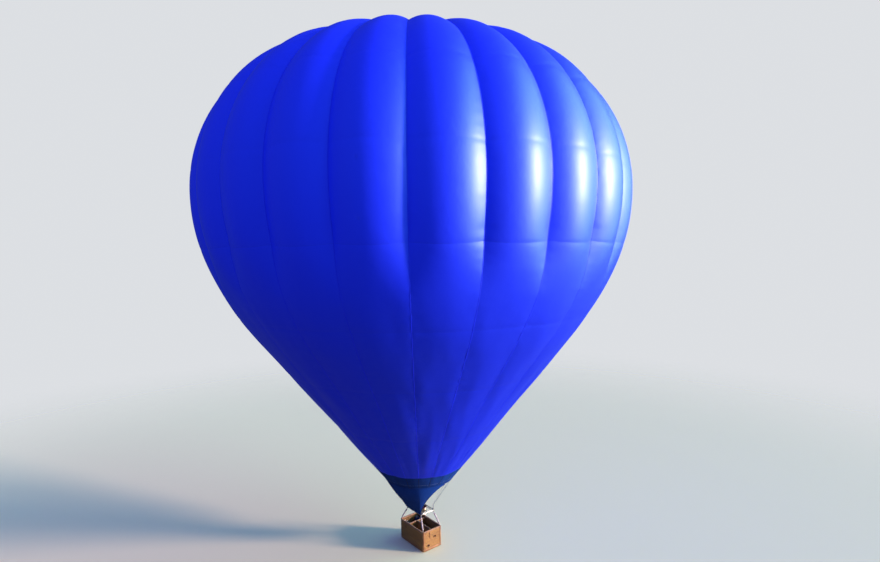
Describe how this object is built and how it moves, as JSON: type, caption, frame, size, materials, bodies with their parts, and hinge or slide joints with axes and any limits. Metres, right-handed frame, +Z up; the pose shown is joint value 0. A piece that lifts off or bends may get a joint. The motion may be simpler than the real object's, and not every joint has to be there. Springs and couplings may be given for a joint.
{
  "type": "hot air balloon",
  "caption": "Hot air balloon with a lobed blue envelope, dark mouth band, scoop, gimballed burners and a wicker basket.",
  "frame": {"origin": "centre of the envelope's widest circle, on the balloon's axis, where the air holds it up", "axes": "+Z up along the balloon's axis, +X along the basket's long side, away from the pilot's bay, -Y the side that the scoop covers"},
  "size_m": [21.4324, 21.4324, 26.7033],
  "materials": {
    "envelope_fabric": "coated ripstop nylon, satin",
    "mouth_fabric": "heat-resistant woven cloth, matte",
    "load_tape": "woven polyester webbing",
    "alloy": "satin",
    "wire_rope": "stranded stainless steel",
    "burner_steel": "brushed stainless steel, heat tinted",
    "valve_brass": "machined",
    "upright_pad": "suede sleeve, sewn",
    "wicker": "woven willow and cane, varnished",
    "hide": "hide, sewn",
    "timber": "marine plywood and ash",
    "cylinder_jacket": "padded cloth jacket"
  },
  "bodies": {
    "balloon": {"envelope_crown_panels": "envelope_fabric", "envelope_upper_panels": "envelope_fabric", "envelope_shoulder_panels": "envelope_fabric", "envelope_equator_panels": "envelope_fabric", "envelope_lower_panels": "envelope_fabric", "envelope_cone_panels": "envelope_fabric", "envelope_taper_panels": "envelope_fabric", "envelope_throat_panels": "envelope_fabric", "envelope_mouth_band": "mouth_fabric", "scoop": "mouth_fabric", "crown_load_tapes": "load_tape", "crown_ring": "alloy", "flying_wires_front_left": "wire_rope", "flying_wires_front_right": "wire_rope", "flying_wires_back_right": "wire_rope", "flying_wires_back_left": "wire_rope", "carabiner_front_left": "burner_steel", "carabiner_front_right": "burner_steel", "carabiner_back_right": "burner_steel", "carabiner_back_left": "burner_steel", "burner_load_frame": "burner_steel", "upright_front_left": "upright_pad", "upright_front_right": "upright_pad", "upright_back_right": "upright_pad", "upright_back_left": "upright_pad", "basket_wall": "wicker", "partition": "wicker", "basket_rim": "hide", "partition_rim": "hide", "basket_hide_band": "hide", "basket_floor": "timber", "runner_left": "timber", "runner_middle": "timber", "runner_right": "timber", "fuel_cylinder_front_left": "cylinder_jacket", "fuel_cylinder_front_right": "cylinder_jacket", "fuel_cylinder_back_right": "cylinder_jacket", "fuel_cylinder_back_left": "cylinder_jacket"},
    "valve": {"parachute_valve": "envelope_fabric"},
    "gimbal": {"gimbal_ring": "burner_steel"},
    "burner": {"burner_cradle": "burner_steel", "burner_can_left": "burner_steel", "burner_can_right": "burner_steel", "burner_coil_left": "burner_steel", "burner_coil_right": "burner_steel", "burner_valve_left": "valve_brass", "burner_valve_right": "valve_brass"}
  },
  "joints": [
    {"name": "valve_slide", "type": "slide", "parent": "balloon", "child": "valve", "axis": [0, 0, -1], "range_m": [0, 1.2], "stiffness_N_per_m": 120, "springref_m": -1},
    {"name": "gimbal_roll", "type": "hinge", "parent": "balloon", "child": "gimbal", "pos_m": [0, 0, -16.7], "axis": [1, 0, 0], "range_deg": [-12, 12]},
    {"name": "gimbal_pitch", "type": "hinge", "parent": "gimbal", "child": "burner", "pos_m": [0, 0, -16.7], "axis": [0, 1, 0], "range_deg": [-12, 12]}
  ]
}
